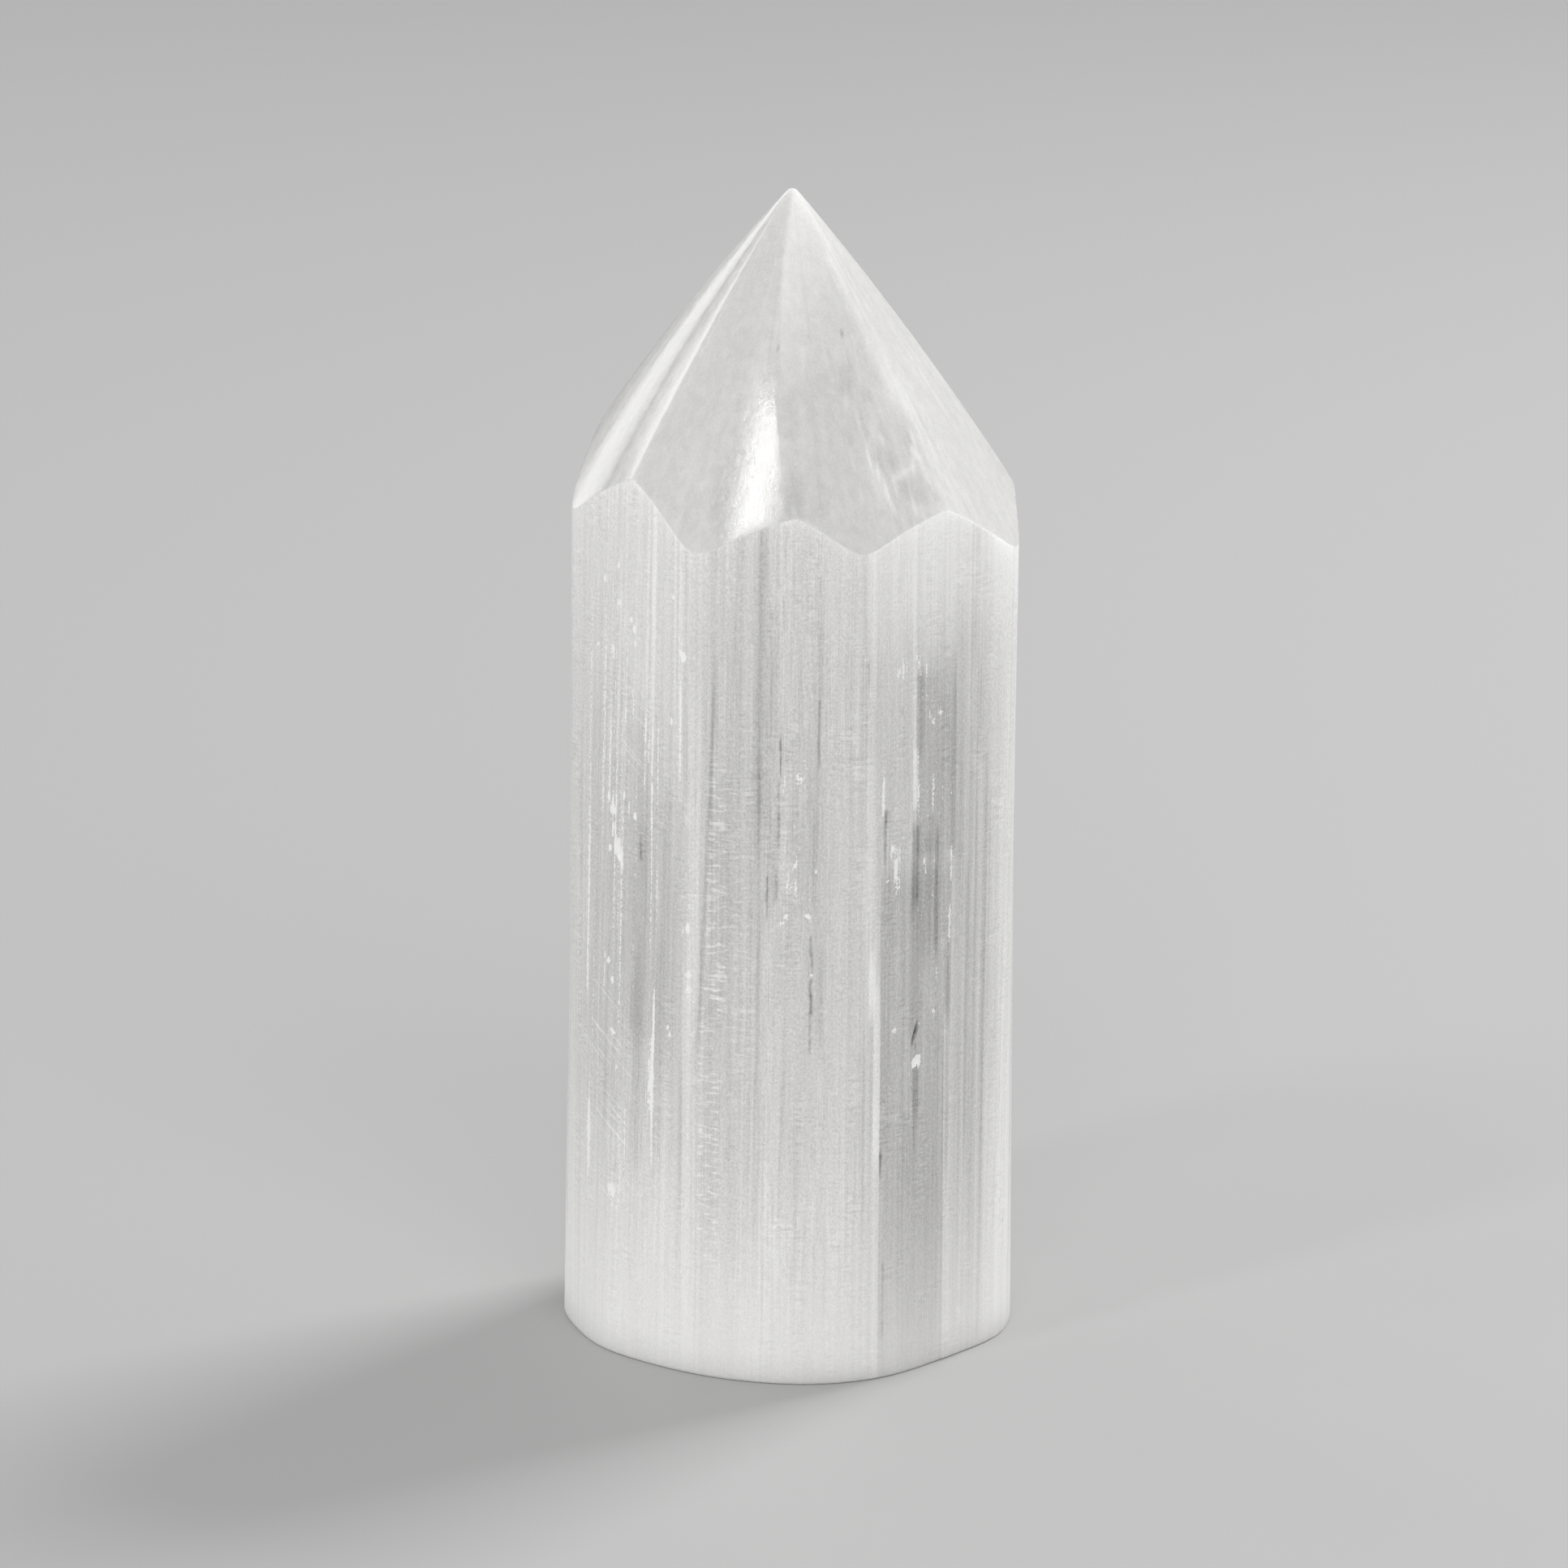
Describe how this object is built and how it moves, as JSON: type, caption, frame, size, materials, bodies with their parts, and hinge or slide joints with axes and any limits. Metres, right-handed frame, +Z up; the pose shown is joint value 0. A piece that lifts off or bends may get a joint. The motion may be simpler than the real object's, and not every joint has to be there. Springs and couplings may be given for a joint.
{
  "type": "selenite point",
  "caption": "Upright satin-white selenite point with a flat sawn base, a fibrous rod and a polished faceted tip.",
  "frame": {"origin": "middle of the flat base", "axes": "+Z up along the rod to the tip, -Y the front that the picture shows, +X to its right"},
  "size_m": [0.039, 0.04, 0.1],
  "materials": {
    "satin_gypsum": "satin white fibrous gypsum, translucent, polished on the tip and fine-sanded on the rod"
  },
  "bodies": {
    "root": {"selenite_point": "satin_gypsum"}
  },
  "joints": []
}
